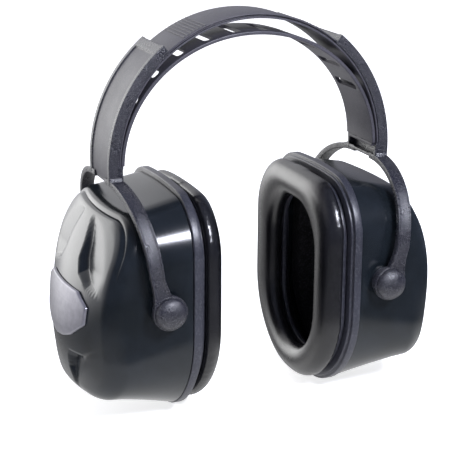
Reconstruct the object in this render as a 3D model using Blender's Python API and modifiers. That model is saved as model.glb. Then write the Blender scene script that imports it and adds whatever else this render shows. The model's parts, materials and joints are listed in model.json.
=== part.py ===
"""Earmuff hearing protector, in metres, +Z up, +X to the wearer's one side, +Y along the pivots.

An arched strap carries a slotted comfort strap inside it and a sliding yoke at each end. Each yoke
forks round a cup and holds it on two domed studs. A cup is a moulded shell with a badge, foam
lining, a rim plate and a soft cushion on a snap ring.

The origin is where the wearer's head meets the comfort strap, at the crown. Everything is drawn
about the centre of the strap's arc, which lies COMFORT_CROWN_R below the origin. An arc angle is
counted from the crown towards +X. Each piece is drawn for the +X side and mirrored for the other.
"""

import math

import bmesh
import bpy
from mathutils import Matrix, Vector

MM = 0.001

# The straps, as radii from the arc's centre, half widths along Y, and arc angles in degrees.
COMFORT_CROWN_R = 59.2 * MM
COMFORT_SPREAD = 5.6 * MM  # how much further out the comfort strap runs at its ends
COMFORT_THICKNESS = 1.8 * MM
COMFORT_HALF_WIDTH = 14.0 * MM
STRAP_END = 88.5
STRAP_STEP = 4.4
STRAP_INNER_R = 67.0 * MM
STRAP_GROOVE_LOW_R = 67.8 * MM
STRAP_GROOVE_HIGH_R = 68.6 * MM
STRAP_OUTER_R = 69.2 * MM
STRAP_HALF_WIDTH = 14.5 * MM
STRAP_WEB_HALF = 12.9 * MM  # between the two edge grooves
STRAP_TOP_HALF = 13.9 * MM
RIB_FIRST = 20.5
RIB_COUNT = 7
RIB_PITCH = 1.6
RIB_HEIGHT = 0.35 * MM
RIB_WIDTH = 0.7 * MM
SLOT_COUNT = 10
SLOT_PITCH = 13.7
SLOT_LENGTH = 21.5 * MM
SLOT_WIDTH = 4.4 * MM
SLOT_END_STEPS = 5

# Play between pieces, and how far cutters run past what they cut.
CLEARANCE = 0.3 * MM
CLEAR_ANGLE = 0.3
SEAM = 0.05 * MM  # keeps two faces that are joined from lying exactly on each other
CUT_INNER_R = 55 * MM
CUT_OUTER_R = 75 * MM
CUT_OVERRUN = 2.0

# The key that locks the two straps together at each end.
KEY_HALF_WIDTH = 3.0 * MM
KEY_PLATE_HALF = 12.6 * MM
KEY_START = 85.0
KEY_PLATE_START = STRAP_END + CLEAR_ANGLE
KEY_END = 90.2
KEY_INNER_R = 65.0 * MM
KEY_OUTER_R = 69.0 * MM

# The yoke: a channel round the strap, a bridge across its foot, and two fork arms.
YOKE_START = 38.7
COLLAR_END = 43.0
COLLAR_SLOPE = 0.5
YOKE_STEP = 4.4
YOKE_END = 94.9
YOKE_OUTER_R = 73.0 * MM
PANEL_R = 72.3 * MM
PANEL_HALF = 11.5 * MM
RAIL_EDGE = 0.6 * MM
YOKE_HALF_WIDTH = 14.9 * MM
CHANNEL_R = 69.5 * MM
CHANNEL_HALF = 14.1 * MM
FOOT_HIGH_R = 68.45 * MM
FOOT_LOW_R = 67.95 * MM
FOOT_HALF = 13.15 * MM
BRIDGE_START = 90.4
BRIDGE_INSIDE = 94.2
BRIDGE_END = 95.6
BRIDGE_INNER_R = 66.0 * MM
ARM_ROOT = (8.0 * MM, -6.0 * MM)  # y and z where an arm leaves the bridge
ARM_OUT = 51.0 * MM  # |y| of the straight part of an arm
ARM_SHOULDER_Z = -42.0 * MM
ARM_SQUARENESS = 2.2
ARM_ROOT_X = 69.5 * MM
ARM_MID_X = 62.6 * MM
ARM_FOOT_X = 57.6 * MM
ARM_LEAN = 1.25  # how late in the bend the arm leans towards the head
ARM_HALF_WIDTH = 3.4 * MM
ARM_FLARE = 3.9 * MM
ARM_FLARE_POWER = 2.2
ARM_HALF_THICKNESS = 1.5 * MM
ARM_CHAMFER = 0.8 * MM
ARM_BEND_STEPS = 11
ARM_DROP_STEPS = 5

# The pivots: a stud in each arm's end turns in a blind socket in the cup's wall.
PIVOT_X = 56.6 * MM
PIVOT_Z = -59.0 * MM
HEAD_R = 8.3 * MM
STUD_R = 3.0 * MM
BORE_R = 3.3 * MM
DOME_R = 7.6 * MM
DOME_BASE = ARM_OUT + ARM_HALF_THICKNESS + CLEARANCE
DOME_HEIGHT = 4.2 * MM
DOME_STEPS = 5
STUD_TIP = 43.0 * MM
SOCKET_FACE = 49.0 * MM
SOCKET_FLANGE_BACK = 46.3 * MM
SOCKET_FLANGE_R = 7.0 * MM
SOCKET_SLEEVE_R = 5.0 * MM
SOCKET_FLOOR = 42.5 * MM
SOCKET_BACK = 41.0 * MM
ROUND_STEPS = 20

# The cup's rim across X: squarer corners on top, nearly a half circle at the bottom. The bulges
# are how far its top and bottom stand out, at the middle, from flat ends.
RIM_HALF_Y = 47.5 * MM
RIM_HALF_Z = 53.2 * MM
RIM_TOP_CORNER_R = 24.0 * MM
RIM_BOTTOM_CORNER_R = 45.0 * MM
RIM_CENTRE_Z = -65.7 * MM
BULGE_TOP = 4.0 * MM
BULGE_BOTTOM = 4.0 * MM
OPENING_HALF_Y = 25.0 * MM
OPENING_HALF_Z = 36.7 * MM
OPENING_TOP_CORNER_R = 21.0 * MM
OPENING_BOTTOM_CORNER_R = 24.5 * MM
OPENING_INSET = RIM_HALF_Y - OPENING_HALF_Y
CORNER_STEPS = 5

# The cup's shell: a wall that narrows away from the head, and a crowned outer face.
WALL = 2.4 * MM
SHELL_X = 43.5 * MM
SHELL_HALF_Y = 46.5 * MM
SHELL_TOP_Z = -14.7 * MM
SHELL_BOTTOM_Z = -118.4 * MM
SHELL_TOP_CORNER_R = 23.0 * MM
SHELL_BOTTOM_CORNER_R = 44.0 * MM
SIDE_TAPER = 0.06
TOP_TAPER = 0.11
BOTTOM_TAPER = 0.25
TOP_CORNER_TAPER = 0.1
BOTTOM_CORNER_TAPER = 0.52
LEAST_CORNER_R = 2.0 * MM
SHOULDER_X = 72.0 * MM
EDGE_R = 7.0 * MM
FACE_X = 94.6 * MM
FACE_PEAK_Z = -82.0 * MM
FACE_FALL_UP = 4.6  # per metre: how fast the face falls back above its peak
FACE_FALL_DOWN = 6.6
FACE_CROWN_TOP = 3.4  # per metre: crown across the face at its top and at its foot
FACE_CROWN_FOOT = 7.2
CROWN_START_Z = -35.0 * MM
CROWN_END_Z = -92.0 * MM
WALL_STEPS = 4
EDGE_STEPS = 4
FACE_SCALES = (0.75, 0.5, 0.25, 0.06)

# Inside the cup.
FOAM_START_X = 46.9 * MM
FOAM_THICKNESS = 8.0 * MM
FOAM_WALL_INSET = 5.4 * MM  # clears the pivot sockets
FOAM_END_X = 77.0 * MM
FOAM_NARROWING = 6.0 * MM

# Profiles swept round the cup's rim: (outline, inset, x) in millimetres.
RIM_PLATE = (("rim", 0.0, 42.8), ("rim", 0.4, 43.2), ("wall", 2.8, 43.2), ("wall", 2.8, 46.2),
             ("wall", 4.4, 46.2), ("wall", 4.4, 43.2), ("wall", 8.0, 43.2), ("wall", 8.0, 38.2),
             ("rim", 2.0, 38.2), ("rim", 2.0, 39.4), ("rim", 0.4, 39.4), ("rim", 0.0, 39.8))
SNAP_RING = (("rim", 6.0, 37.9), ("wall", 8.5, 37.9), ("wall", 8.5, 41.5), ("wall", 9.8, 41.5),
             ("wall", 9.8, 37.9), ("rim", 20.8, 37.9), ("rim", 20.8, 35.9), ("rim", 6.0, 35.9))

# The cushion's skin, outside then inside, and its foam core: (inset, x) in millimetres.
SKIN_OUTSIDE = ((3.4, 35.6), (2.6, 34.0), (2.7, 31.8), (4.1, 28.8), (6.8, 26.6), (10.4, 25.4),
                (14.8, 25.4), (18.6, 26.4), (21.2, 28.5), (22.5, 31.2), (22.3, 35.6))
SKIN_INSIDE = ((21.1, 35.6), (21.3, 31.6), (20.2, 29.3), (18.1, 27.5), (14.5, 26.5),
               (10.7, 26.5), (7.4, 27.6), (5.1, 29.5), (3.8, 32.1), (3.8, 33.9), (4.5, 35.6))
CUSHION_CORE = ((5.0, 35.5), (4.3, 33.9), (4.3, 32.4), (5.6, 29.9), (7.7, 28.1), (10.9, 27.0),
                (14.3, 27.0), (17.8, 28.0), (19.8, 29.7), (20.8, 31.8), (20.6, 35.5))


# The badge plate, as half widths and heights on the shell's outer face.
BADGE_HALF = ((19.5 * MM, -54.5 * MM), (28.7 * MM, -60.0 * MM), (27.8 * MM, -68.6 * MM),
              (16.5 * MM, -76.6 * MM), (8.0 * MM, -79.6 * MM))
BADGE_FOOT_Z = -80.8 * MM
BADGE_CENTRE_Z = -67.0 * MM
BADGE_GAP = 0.3 * MM
BADGE_THICKNESS = 1.3 * MM
BADGE_EDGE = 0.4 * MM
BADGE_EDGE_STEPS = 3

COLLECTION = "earmuff_hearing_protector"


def clear_scene():
    for obj in list(bpy.data.objects):
        bpy.data.objects.remove(obj, do_unlink=True)


def new_collection(name, hidden=False):
    collection = bpy.data.collections.new(name)
    collection.hide_render = hidden
    bpy.context.scene.collection.children.link(collection)
    return collection


def material(name, colour, roughness, metallic=0.0):
    made = bpy.data.materials.new(name)
    made.use_nodes = True
    made.diffuse_color = (*colour, 1.0)
    shader = made.node_tree.nodes["Principled BSDF"]
    shader.inputs["Base Color"].default_value = (*colour, 1.0)
    shader.inputs["Roughness"].default_value = roughness
    shader.inputs["Metallic"].default_value = metallic
    return made


# ---------------------------------------------------------------- meshes and objects


def mesh_from(bm):
    """The bmesh as a mesh, closed and facing out."""
    bmesh.ops.recalc_face_normals(bm, faces=bm.faces)
    mesh = bpy.data.meshes.new("shape")
    bm.to_mesh(mesh)
    bm.free()
    return mesh


def loft(rings, closed=False):
    """A solid through rings of equal length: capped at both ends, or closed on itself."""
    bm = bmesh.new()
    made = [[bm.verts.new(point) for point in ring] for ring in rings]
    pairs = list(zip(made, made[1:]))
    if closed:
        pairs.append((made[-1], made[0]))
    else:
        bm.faces.new(made[0])
        bm.faces.new(made[-1])
    for low, high in pairs:
        for i in range(len(low)):
            j = (i + 1) % len(low)
            bm.faces.new((low[i], low[j], high[j], high[i]))
    return mesh_from(bm)


def joined(meshes):
    """Several solids in one mesh, as a cutter."""
    bm = bmesh.new()
    for mesh in meshes:
        bm.from_mesh(mesh)
    return mesh_from(bm)


def combined(mesh, other, operation):
    """The Boolean of two meshes, as a new mesh."""
    body = bpy.data.objects.new("body", mesh)
    tool = bpy.data.objects.new("tool", other)
    tool.hide_render = True
    tool.display_type = "WIRE"
    for obj in (body, tool):
        CUTTERS.objects.link(obj)
    modifier = body.modifiers.new("combine", "BOOLEAN")
    modifier.operation = operation
    modifier.solver = "EXACT"
    modifier.object = tool
    graph = bpy.context.evaluated_depsgraph_get()
    result = bpy.data.meshes.new_from_object(body.evaluated_get(graph))
    for obj in (body, tool):
        bpy.data.objects.remove(obj)
    return result


def add_part(name, mesh, finish, parent):
    """One named piece. Its mesh is drawn about the arc's centre, its origin goes to its parent."""
    mesh.name = name
    mesh.materials.clear()
    mesh.materials.append(finish)
    mesh.transform(Matrix.Translation(-parent["from_arc_centre"]))
    mesh.shade_smooth()
    mesh.set_sharp_from_angle(angle=math.radians(32))
    obj = bpy.data.objects.new(name, mesh)
    PARTS.objects.link(obj)
    obj.parent = parent["empty"]
    return obj


def add_pair(name, mesh, finish, parents):
    """The +X piece and its mirror image, as right_NAME and left_NAME."""
    other = mesh.copy()
    other.transform(Matrix.Diagonal((-1.0, 1.0, 1.0, 1.0)))
    other.flip_normals()
    add_part("right_" + name, mesh, finish, parents["right"])
    add_part("left_" + name, other, finish, parents["left"])


def add_empty(name, from_arc_centre):
    empty = bpy.data.objects.new(name, None)
    empty.empty_display_size = 10 * MM
    PARTS.objects.link(empty)
    empty.location = from_arc_centre + Vector((0.0, 0.0, -COMFORT_CROWN_R))
    return {"empty": empty, "from_arc_centre": from_arc_centre}


# ---------------------------------------------------------------- shapes that repeat


def smooth(value):
    value = min(max(value, 0.0), 1.0)
    return value * value * (3.0 - 2.0 * value)


def on_arc(angle, radius, y):
    """The point at an arc angle in degrees, a radius and a y."""
    turn = math.radians(angle)
    return Vector((radius * math.sin(turn), y, radius * math.cos(turn)))


def arc_angles(start, end, step):
    count = max(1, round((end - start) / step))
    return [start + (end - start) * i / count for i in range(count + 1)]


def arc_block(start, end, inner, outer, low_y, high_y):
    """A block that follows the arc."""
    corners = ((inner, low_y), (outer, low_y), (outer, high_y), (inner, high_y))
    return loft([[on_arc(angle, r, y) for r, y in corners]
                 for angle in arc_angles(start, end, STRAP_STEP)])


def two_sided(half):
    """A whole section from the (half width, radius) points of its +Y half."""
    return list(half) + [(-y, radius) for y, radius in reversed(half)]


def turned(profile, at, outward):
    """A round piece about the Y axis through `at`. The profile is (radius, |y|), outer side down.
    outward is +1 or -1, the way along Y that the profile's heights count."""
    mesh = bpy.data.meshes.new("profile")
    mesh.from_pydata([(radius, 0.0, height) for radius, height in profile],
                     [(i, i + 1) for i in range(len(profile) - 1)], [])
    obj = bpy.data.objects.new("profile", mesh)
    CUTTERS.objects.link(obj)
    screw = obj.modifiers.new("turn", "SCREW")
    screw.steps = screw.render_steps = ROUND_STEPS
    screw.use_merge_vertices = True
    screw.merge_threshold = 0.00001
    graph = bpy.context.evaluated_depsgraph_get()
    result = bpy.data.meshes.new_from_object(obj.evaluated_get(graph))
    bpy.data.objects.remove(obj)
    result.transform(Matrix.Translation(at) @ Matrix.Rotation(math.radians(-90 * outward), 4, "X"))
    bm = bmesh.new()
    bm.from_mesh(result)
    return mesh_from(bm)


def bulge(y, z):
    """How far the rim's outline stands out here from one with a flat top and bottom."""
    across = 1 - (y / RIM_HALF_Y) ** 2
    up = (z - RIM_CENTRE_Z) / RIM_HALF_Z
    return (BULGE_TOP if up > 0 else -BULGE_BOTTOM) * across * up ** 2


def cup_outline(half_y, low_z, high_z, top_r, bottom_r, belly):
    """(y, z) points of an outline like the rim's, counted round from the +Y side. belly is the
    share of the bulge that it has."""
    points = []
    for corner in range(4):
        side_y = 1 if corner in (0, 3) else -1
        radius = top_r if corner < 2 else bottom_r
        middle_z = high_z - radius if corner < 2 else low_z + radius
        for step in range(CORNER_STEPS + 1):
            angle = math.radians(90 * (corner + step / CORNER_STEPS))
            points.append((side_y * (half_y - radius) + radius * math.cos(angle),
                           middle_z + radius * math.sin(angle)))
        if corner == 0:
            points.append((0.0, high_z))
        if corner == 2:
            points.append((0.0, low_z))
    return [(y, z + belly * bulge(y, z)) for y, z in points]


def rim_ring(inset, x):
    """The rim's outline, moved in. At OPENING_INSET it is the cushion's opening."""
    share = inset / OPENING_INSET
    half_z = RIM_HALF_Z + (OPENING_HALF_Z - RIM_HALF_Z) * share
    top_r = RIM_TOP_CORNER_R + (OPENING_TOP_CORNER_R - RIM_TOP_CORNER_R) * share
    bottom_r = RIM_BOTTOM_CORNER_R + (OPENING_BOTTOM_CORNER_R - RIM_BOTTOM_CORNER_R) * share
    points = cup_outline(RIM_HALF_Y - inset, RIM_CENTRE_Z - half_z, RIM_CENTRE_Z + half_z,
                         top_r, bottom_r, 1.0)
    return [Vector((x, y, z)) for y, z in points]


def rim_sweep(profile):
    """A closed ring round the rim, through a closed profile of (outline, inset, x). The outline is
    the rim's, or the wall's for what fits inside the shell."""
    outlines = {"rim": rim_ring, "wall": wall_ring}
    return loft([outlines[name](inset * MM, x * MM) for name, inset, x in profile], closed=True)


# ---------------------------------------------------------------- headband


def strap_mesh():
    half = ((STRAP_TOP_HALF, STRAP_OUTER_R), (STRAP_TOP_HALF, STRAP_GROOVE_HIGH_R),
            (STRAP_WEB_HALF, STRAP_GROOVE_HIGH_R), (STRAP_WEB_HALF, STRAP_GROOVE_LOW_R),
            (STRAP_HALF_WIDTH, STRAP_GROOVE_LOW_R), (STRAP_HALF_WIDTH, STRAP_INNER_R))
    section = two_sided(half)
    strap = loft([[on_arc(angle, r, y) for y, r in section]
                  for angle in arc_angles(-STRAP_END, STRAP_END, STRAP_STEP)])
    ribs = []
    for side in (-1, 1):
        for i in range(RIB_COUNT):
            middle = side * (RIB_FIRST + RIB_PITCH * i)
            reach = math.degrees(RIB_WIDTH / STRAP_OUTER_R) / 2
            ribs.append(arc_block(middle - reach, middle + reach, STRAP_OUTER_R - RIB_HEIGHT,
                                  STRAP_OUTER_R + RIB_HEIGHT, -STRAP_TOP_HALF + RIB_WIDTH,
                                  STRAP_TOP_HALF - RIB_WIDTH))
    strap = combined(strap, joined(ribs), "UNION")
    return combined(strap, key_notches(), "DIFFERENCE")


def comfort_radius(angle):
    return COMFORT_CROWN_R + COMFORT_SPREAD * math.sin(math.radians(angle)) ** 2


def comfort_mesh():
    rings = []
    for angle in arc_angles(-STRAP_END, STRAP_END, STRAP_STEP):
        inner = comfort_radius(angle)
        outer = inner + COMFORT_THICKNESS
        edge = COMFORT_THICKNESS / 3
        half = ((COMFORT_HALF_WIDTH - edge, outer), (COMFORT_HALF_WIDTH, outer - edge),
                (COMFORT_HALF_WIDTH, inner + edge), (COMFORT_HALF_WIDTH - edge, inner))
        rings.append([on_arc(angle, r, y) for y, r in two_sided(half)])
    slots = [slot_mesh((i - (SLOT_COUNT - 1) / 2) * SLOT_PITCH) for i in range(SLOT_COUNT)]
    strap = combined(loft(rings), joined(slots), "DIFFERENCE")
    return combined(strap, key_notches(), "DIFFERENCE")


def slot_mesh(angle):
    """A cutter for one vent slot: a round-ended bar that points out from the arc's centre."""
    end_r = SLOT_WIDTH / 2
    flat = []
    for side in (1, -1):
        for i in range(SLOT_END_STEPS + 1):
            turn = math.pi * (i / SLOT_END_STEPS - 0.5)
            y = side * (SLOT_LENGTH / 2 - end_r + end_r * math.cos(turn))
            flat.append((side * end_r * math.sin(turn), y))
    radii = (CUT_INNER_R, STRAP_INNER_R)
    bar = loft([[Vector((x, y, r)) for x, y in flat] for r in radii])
    bar.transform(Matrix.Rotation(math.radians(angle), 4, "Y"))
    return bar


def key_notches():
    """A cutter for the notch that the key's stem fills in both ends of a strap."""
    reach = KEY_HALF_WIDTH + CLEARANCE
    return joined([arc_block(side * (KEY_START - CLEAR_ANGLE), side * (STRAP_END + CUT_OVERRUN),
                             CUT_INNER_R, CUT_OUTER_R, -reach, reach) for side in (-1, 1)])


def key_mesh():
    stem = arc_block(KEY_START, KEY_PLATE_START + CLEAR_ANGLE, KEY_INNER_R, KEY_OUTER_R,
                     -KEY_HALF_WIDTH, KEY_HALF_WIDTH)
    plate = arc_block(KEY_PLATE_START, KEY_END, KEY_INNER_R, KEY_OUTER_R,
                      -KEY_PLATE_HALF, KEY_PLATE_HALF)
    return combined(plate, stem, "UNION")


# ---------------------------------------------------------------- yoke


def channel_section(panel_r):
    """The channel's section. Its two feet run in the grooves in the strap's edges."""
    half = ((PANEL_HALF, panel_r), (PANEL_HALF + RAIL_EDGE, YOKE_OUTER_R),
            (YOKE_HALF_WIDTH - RAIL_EDGE, YOKE_OUTER_R),
            (YOKE_HALF_WIDTH, YOKE_OUTER_R - RAIL_EDGE), (YOKE_HALF_WIDTH, FOOT_LOW_R),
            (FOOT_HALF, FOOT_LOW_R), (FOOT_HALF, FOOT_HIGH_R), (CHANNEL_HALF, FOOT_HIGH_R),
            (CHANNEL_HALF, CHANNEL_R))
    return two_sided(half)


def channel_mesh():
    collar_r = YOKE_OUTER_R - SEAM
    panel_start = COLLAR_END + COLLAR_SLOPE
    stations = [(YOKE_START, PANEL_R), (YOKE_START + COLLAR_SLOPE, collar_r),
                (COLLAR_END, collar_r)]
    stations += [(angle, PANEL_R) for angle in arc_angles(panel_start, YOKE_END, YOKE_STEP)]
    return loft([[on_arc(angle, r, y) for y, r in channel_section(panel_r)]
                 for angle, panel_r in stations])


def arm_station(share):
    """(x, y, z, half width) of an arm's middle line: 0 at the bridge, 1 at the shoulder, 2 at the
    pivot. The bend follows a squarish ellipse, the rest drops straight to the pivot."""
    if share <= 1.0:
        turn = math.radians(90 * share)
        y = ARM_ROOT[0] + (ARM_OUT - ARM_ROOT[0]) * math.sin(turn) ** (2 / ARM_SQUARENESS)
        reach_z = ARM_ROOT[1] - ARM_SHOULDER_Z
        z = ARM_SHOULDER_Z + reach_z * max(math.cos(turn), 0.0) ** (2 / ARM_SQUARENESS)
        x = ARM_ROOT_X + (ARM_MID_X - ARM_ROOT_X) * share ** ARM_LEAN
        return x, y, z, ARM_HALF_WIDTH
    drop = share - 1.0
    z = ARM_SHOULDER_Z + (PIVOT_Z - ARM_SHOULDER_Z) * drop
    x = ARM_MID_X + (ARM_FOOT_X - ARM_MID_X) * drop
    return x, ARM_OUT, z, ARM_HALF_WIDTH + ARM_FLARE * drop ** ARM_FLARE_POWER


def arm_mesh():
    """The +Y arm: a flat ribbon that bends round the cup's shoulder."""
    shares = [i / ARM_BEND_STEPS for i in range(ARM_BEND_STEPS + 1)]
    shares += [1.0 + i / ARM_DROP_STEPS for i in range(1, ARM_DROP_STEPS + 1)]
    rings = []
    for share in shares:
        x, y, z, half_width = arm_station(share)
        _, y_before, z_before, _ = arm_station(max(share - 0.01, 0.0))
        _, y_after, z_after, _ = arm_station(min(share + 0.01, 2.0))
        along = Vector((0.0, y_after - y_before, z_after - z_before)).normalized()
        across = Vector((0.0, -along.z, along.y))
        thick = ARM_HALF_THICKNESS
        cut = ARM_CHAMFER
        flat = ((half_width - cut, thick), (half_width, thick - cut), (half_width, cut - thick),
                (half_width - cut, -thick), (cut - half_width, -thick),
                (-half_width, cut - thick), (-half_width, thick - cut), (cut - half_width, thick))
        middle = Vector((x, y, z))
        rings.append([middle + Vector((wide, 0.0, 0.0)) + across * deep for wide, deep in flat])
    return loft(rings)


def bridge_mesh():
    half_width = YOKE_HALF_WIDTH - SEAM
    return arc_block(BRIDGE_START, BRIDGE_END, BRIDGE_INNER_R, YOKE_OUTER_R - SEAM,
                     -half_width, half_width)


def head_disc(side):
    """The round end of an arm, behind the stud's dome."""
    outer = ARM_OUT + ARM_HALF_THICKNESS
    inner = ARM_OUT - ARM_HALF_THICKNESS
    return turned(((0.0, outer), (HEAD_R - ARM_CHAMFER, outer), (HEAD_R, outer - ARM_CHAMFER),
                   (HEAD_R, inner), (0.0, inner)), pivot_point(), side)


def yoke_mesh():
    yoke = combined(channel_mesh(), bridge_mesh(), "UNION")
    pocket = arc_block(STRAP_END - CUT_OVERRUN, BRIDGE_INSIDE, CUT_INNER_R, CHANNEL_R,
                       -FOOT_HALF, FOOT_HALF)
    yoke = combined(yoke, pocket, "DIFFERENCE")
    for side in (1, -1):
        arm = arm_mesh()
        arm.transform(Matrix.Diagonal((1.0, side, 1.0, 1.0)))
        if side < 0:
            arm.flip_normals()
        yoke = combined(yoke, arm, "UNION")
        yoke = combined(yoke, head_disc(side), "UNION")
    return combined(yoke, pivot_hole(BORE_R), "DIFFERENCE")


# ---------------------------------------------------------------- pivots


def pivot_point():
    return Vector((PIVOT_X, 0.0, PIVOT_Z))


def pivot_hole(radius):
    """A cutter along the whole pivot axis."""
    reach = 1.2 * ARM_OUT
    return turned(((0.0, reach), (radius, reach), (radius, -reach), (0.0, -reach)),
                  pivot_point(), 1)


def stud_mesh(side):
    dome = []
    for i in range(DOME_STEPS + 1):
        turn = math.radians(90 * i / DOME_STEPS)
        dome.append((DOME_R * math.sin(turn), DOME_BASE + DOME_HEIGHT * math.cos(turn)))
    profile = dome + [(STUD_R, DOME_BASE), (STUD_R, STUD_TIP), (0.0, STUD_TIP)]
    return turned(profile, pivot_point(), side)


def socket_mesh(side):
    profile = ((0.0, SOCKET_FLOOR), (BORE_R, SOCKET_FLOOR), (BORE_R, SOCKET_FACE),
               (SOCKET_FLANGE_R, SOCKET_FACE), (SOCKET_FLANGE_R, SOCKET_FLANGE_BACK),
               (SOCKET_SLEEVE_R, SOCKET_FLANGE_BACK), (SOCKET_SLEEVE_R, SOCKET_BACK),
               (0.0, SOCKET_BACK))
    return turned(profile, pivot_point(), side)


# ---------------------------------------------------------------- cup


def face_x(y, z):
    """How far out the shell's crowned outer face stands."""
    above = z - FACE_PEAK_Z
    fall = FACE_FALL_UP if above > 0 else FACE_FALL_DOWN
    share = smooth((CROWN_START_Z - z) / (CROWN_START_Z - CROWN_END_Z))
    crown = FACE_CROWN_TOP + (FACE_CROWN_FOOT - FACE_CROWN_TOP) * share
    return FACE_X - fall * above ** 2 - crown * y ** 2


def wall_outline(x, inset):
    """(y, z) points of the shell's wall at x, moved in. Its bulge fades out to the shoulder."""
    out = x - SHELL_X
    top_r = SHELL_TOP_CORNER_R - TOP_CORNER_TAPER * out - inset
    bottom_r = SHELL_BOTTOM_CORNER_R - BOTTOM_CORNER_TAPER * out - inset
    belly = min(max(1 - out / (SHOULDER_X - SHELL_X), 0.0), 1.0)
    return cup_outline(SHELL_HALF_Y - SIDE_TAPER * out - inset,
                       SHELL_BOTTOM_Z + BOTTOM_TAPER * out + inset,
                       SHELL_TOP_Z - TOP_TAPER * out - inset,
                       max(top_r, LEAST_CORNER_R), max(bottom_r, LEAST_CORNER_R), belly)


def wall_ring(inset, x):
    """The outline of the shell's wall at x, moved in."""
    return [Vector((x, y, z)) for y, z in wall_outline(x, inset)]


def shell_rings(depth):
    """Rings of the shell's surface from its rim to the middle of its face, `depth` under it."""
    edges = [face_x(y, z) - EDGE_R for y, z in wall_outline(SHOULDER_X, depth)]
    rings = []
    for step in range(WALL_STEPS + 1):
        ring = []
        for i, edge in enumerate(edges):
            x = SHELL_X + (edge - SHELL_X) * step / WALL_STEPS
            ring.append(Vector((x, *wall_outline(x, depth)[i])))
        rings.append(ring)
    bend_r = EDGE_R - depth
    for step in range(1, EDGE_STEPS + 1):
        turn = math.radians(90 * step / EDGE_STEPS)
        ring = []
        for i, edge in enumerate(edges):
            y, z = wall_outline(edge, depth + bend_r * (1 - math.cos(turn)))[i]
            ring.append(Vector((face_x(y, z) - depth - bend_r * (1 - math.sin(turn)), y, z)))
        rings.append(ring)
    rim = rings[-1]
    for scale in FACE_SCALES:
        ring = []
        for point in rim:
            y = point.y * scale
            z = RIM_CENTRE_Z + (point.z - RIM_CENTRE_Z) * scale
            ring.append(Vector((face_x(y, z) - depth, y, z)))
        rings.append(ring)
    return rings


def shell_mesh():
    shell = loft(list(reversed(shell_rings(WALL))) + shell_rings(0.0))
    return combined(shell, pivot_hole(SOCKET_SLEEVE_R + CLEARANCE), "DIFFERENCE")


def foam_mesh():
    """The lining: a dish of foam that follows the shell's inside."""
    outer, inner = [], []
    for share in (0.0, 0.5, 1.0):
        x = FOAM_START_X + (FOAM_END_X - FOAM_START_X) * share
        inset = WALL + FOAM_WALL_INSET + FOAM_NARROWING * share ** 2
        outer.append(wall_ring(inset, x))
        x = FOAM_START_X + (FOAM_END_X - FOAM_THICKNESS - FOAM_START_X) * share
        inner.append(wall_ring(inset + FOAM_THICKNESS, x))
    return loft(list(reversed(inner)) + outer)


def badge_mesh():
    """A cut-cornered plate that follows the face, star-shaped about its middle."""
    right = list(BADGE_HALF)
    corners = right + [(0.0, BADGE_FOOT_Z)] + [(-y, z) for y, z in reversed(right)]
    outline = []
    for here, after in zip(corners, corners[1:] + corners[:1]):
        for step in range(BADGE_EDGE_STEPS):
            share = step / BADGE_EDGE_STEPS
            outline.append((here[0] + (after[0] - here[0]) * share,
                            here[1] + (after[1] - here[1]) * share))
    top = BADGE_GAP + BADGE_THICKNESS
    rings = []
    for scale, height in ((0.05, BADGE_GAP), (0.5, BADGE_GAP), (1.0, BADGE_GAP),
                          (1.0, top - BADGE_EDGE), (0.97, top), (0.5, top), (0.05, top)):
        ring = []
        for y, z in outline:
            y = y * scale
            z = BADGE_CENTRE_Z + (z - BADGE_CENTRE_Z) * scale
            ring.append(Vector((face_x(y, z) + height, y, z)))
        rings.append(ring)
    return loft(rings)


def cushion_sweep(profile):
    return rim_sweep([("rim", inset, x) for inset, x in profile])


# ---------------------------------------------------------------- assembly


def build():
    grained = material("grained_plastic", (0.030, 0.030, 0.038), 0.42)
    smooth_black = material("smooth_plastic", (0.045, 0.046, 0.050), 0.30)
    gloss = material("cup_plastic", (0.022, 0.024, 0.030), 0.12)
    badge_grey = material("badge_plate", (0.42, 0.42, 0.44), 0.35, 0.3)
    rim_black = material("rim_plastic", (0.028, 0.028, 0.034), 0.35)
    skin = material("cushion_skin", (0.020, 0.020, 0.023), 0.38)
    soft_foam = material("cushion_foam", (0.30, 0.30, 0.28), 0.95)
    dark_foam = material("lining_foam", (0.025, 0.025, 0.027), 0.95)

    band = add_empty("arc_centre", Vector((0.0, 0.0, 0.0)))
    slides = {"right": band, "left": band}
    pivots = {"right": add_empty("right_pivot_axis", Vector((PIVOT_X, 0.0, PIVOT_Z))),
              "left": add_empty("left_pivot_axis", Vector((-PIVOT_X, 0.0, PIVOT_Z)))}

    add_part("headband_strap", strap_mesh(), smooth_black, band)
    add_part("comfort_strap", comfort_mesh(), smooth_black, band)
    add_pair("strap_end_key", key_mesh(), smooth_black, slides)
    add_pair("yoke", yoke_mesh(), grained, slides)
    for name, side in (("front", -1), ("rear", 1)):
        add_pair(name + "_pivot_stud", stud_mesh(side), grained, slides)
        add_pair(name + "_pivot_socket", socket_mesh(side), rim_black, pivots)
    add_pair("cup_shell", shell_mesh(), gloss, pivots)
    add_pair("badge_plate", badge_mesh(), badge_grey, pivots)
    add_pair("cup_foam_lining", foam_mesh(), dark_foam, pivots)
    add_pair("rim_plate", rim_sweep(RIM_PLATE), rim_black, pivots)
    add_pair("cushion_snap_ring", rim_sweep(SNAP_RING), rim_black, pivots)
    add_pair("cushion_foam", cushion_sweep(CUSHION_CORE), soft_foam, pivots)
    add_pair("cushion_skin", cushion_sweep(SKIN_OUTSIDE + SKIN_INSIDE), skin, pivots)


clear_scene()
PARTS = new_collection(COLLECTION)
CUTTERS = new_collection("cutters", hidden=True)
build()
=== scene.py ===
import json
import math

import bmesh
import bpy
from mathutils import Matrix, Vector


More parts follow.
